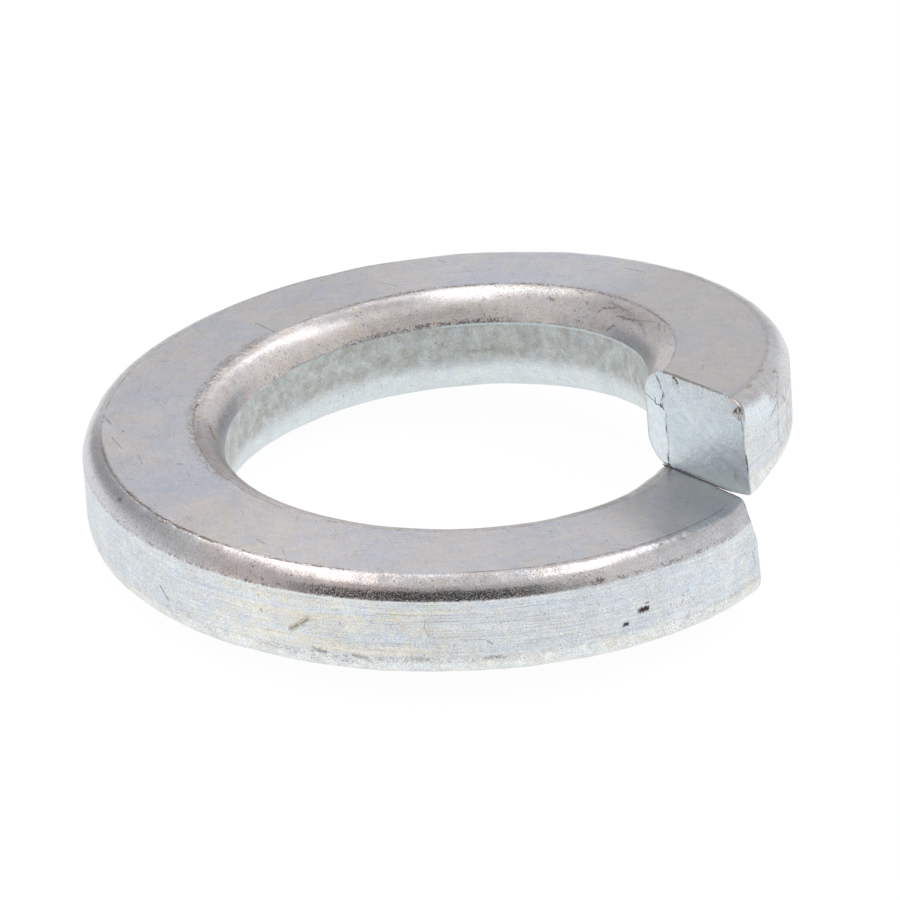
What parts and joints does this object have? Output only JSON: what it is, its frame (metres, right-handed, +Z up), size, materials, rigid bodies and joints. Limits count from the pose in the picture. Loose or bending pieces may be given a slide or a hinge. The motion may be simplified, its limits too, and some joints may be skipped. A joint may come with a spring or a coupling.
{
  "type": "split lock washer",
  "caption": "Split helical spring lock washer: an open coil of rounded, slightly tapered wire whose sheared ends stand one above the other.",
  "frame": {"origin": "on the bore axis, level with the washer's lowest point, which is on the lower end", "axes": "+Z up along the bore axis, towards the raised end; +X from the axis to the slit"},
  "size_m": [0.024, 0.024, 0.0074],
  "materials": {
    "zinc_plate": "bright zinc plate, faintly blue, with bare-looking darker rounded edges"
  },
  "bodies": {
    "root": {"split_lock_washer": "zinc_plate"}
  },
  "joints": []
}
